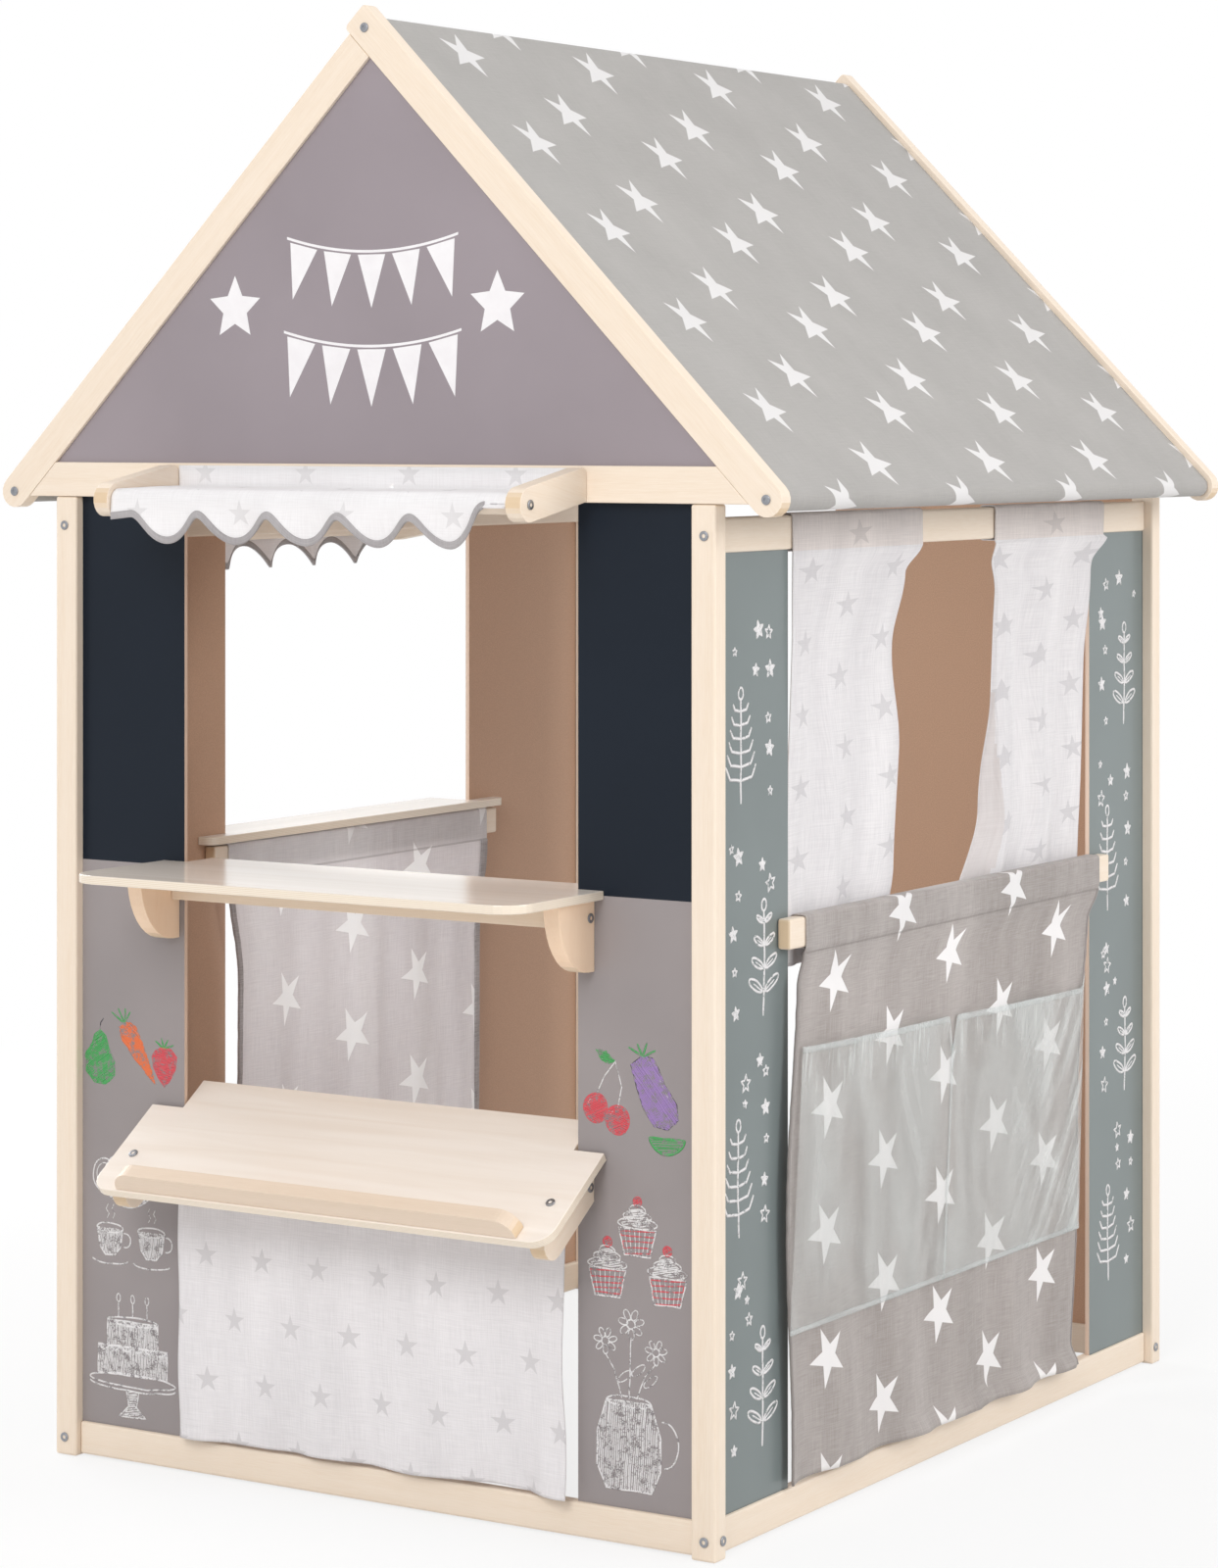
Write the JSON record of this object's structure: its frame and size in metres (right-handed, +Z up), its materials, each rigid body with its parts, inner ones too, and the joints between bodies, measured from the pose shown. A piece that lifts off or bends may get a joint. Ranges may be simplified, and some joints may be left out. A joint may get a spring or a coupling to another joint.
{
  "type": "play shop stand",
  "caption": "Child's wooden play house shop with pitched fabric roof, serving counter, tilted display tray, scalloped awnings, curtains and a pocket apron.",
  "frame": {"origin": "middle of the bounding box's footprint, on the floor", "axes": "+X to the right seen from the front, +Y from the serving window to the back, +Z up"},
  "size_m": [1.0164, 1.196, 1.5489],
  "materials": {
    "beech": "planed pale beech, clear matt lacquer, softly rounded edges",
    "shelf_ply": "pale birch plywood, clear matt lacquer",
    "grey_panel": "thin fibreboard, warm grey satin lacquer with blackboard areas and chalk-style prints",
    "side_panel": "thin fibreboard, green-grey satin lacquer outside, bare brown board inside",
    "roof_fabric": "grey plain-woven cotton canvas with pale stars",
    "white_cotton": "thin white cotton with pale grey stars",
    "grey_cotton": "warm grey cotton with white stars",
    "clear_film": "clear soft film with a faint blue-green tint",
    "zinc": "dark zinc-plated steel"
  },
  "bodies": {
    "house": {"post_front_left": "beech", "post_front_right": "beech", "post_back_left": "beech", "post_back_right": "beech", "front_bottom_rail": "beech", "back_bottom_rail": "beech", "left_bottom_rail": "beech", "right_bottom_rail": "beech", "left_top_rail": "beech", "right_top_rail": "beech", "front_gable_chord": "beech", "front_rafter_left": "beech", "front_rafter_right": "beech", "back_gable_chord": "beech", "back_rafter_left": "beech", "back_rafter_right": "beech", "ridge_dowel": "beech", "eave_left_dowel": "beech", "eave_right_dowel": "beech", "counter_bracket_left": "beech", "counter_bracket_right": "beech", "counter_stiffener": "beech", "tray_lip": "beech", "tray_bracket_left": "beech", "tray_bracket_right": "beech", "curtain_rod": "beech", "front_awning_arm_left": "beech", "front_awning_arm_right": "beech", "front_awning_dowel": "beech", "left_awning_arm_left": "beech", "left_awning_arm_right": "beech", "left_awning_dowel": "beech", "left_bar": "beech", "right_bar": "beech", "counter_shelf": "shelf_ply", "display_tray": "shelf_ply", "left_ledge": "shelf_ply", "front_gable_panel": "grey_panel", "back_gable_panel": "grey_panel", "front_panel_left": "grey_panel", "front_panel_right": "grey_panel", "back_panel": "side_panel", "left_panel_front": "side_panel", "left_panel_back": "side_panel", "right_panel_front": "side_panel", "right_panel_back": "side_panel", "roof_fabric": "roof_fabric", "front_awning_cloth": "white_cotton", "left_awning_cloth": "white_cotton", "left_apron_sleeve": "grey_cotton", "right_apron_sleeve": "grey_cotton", "ridge_bolt": "zinc", "eave_left_bolt": "zinc", "eave_right_bolt": "zinc"},
    "front_curtain": {"front_curtain": "white_cotton"},
    "right_apron": {"right_apron": "grey_cotton", "right_pockets": "clear_film"},
    "left_apron": {"left_apron": "grey_cotton"},
    "curtain_front": {"curtain_front": "white_cotton"},
    "curtain_back": {"curtain_back": "white_cotton"}
  },
  "joints": [
    {"name": "front_curtain_swing", "type": "hinge", "parent": "house", "child": "front_curtain", "pos_m": [0.0182, -0.447, 0.345], "axis": [1, 0, 0], "range_deg": [-40, 70]},
    {"name": "right_apron_swing", "type": "hinge", "parent": "house", "child": "right_apron", "pos_m": [0.4338, 0.0755, 0.5777], "axis": [0, -1, 0], "range_deg": [0, 75]},
    {"name": "left_apron_swing", "type": "hinge", "parent": "house", "child": "left_apron", "pos_m": [-0.3618, 0.0805, 0.5995], "axis": [0, -1, 0], "range_deg": [0, 75]},
    {"name": "curtain_front_slide", "type": "slide", "parent": "house", "child": "curtain_front", "axis": [0, 1, 0], "range_m": [0, 0.05]},
    {"name": "curtain_back_slide", "type": "slide", "parent": "house", "child": "curtain_back", "axis": [0, -1, 0], "range_m": [0, 0.05]}
  ]
}
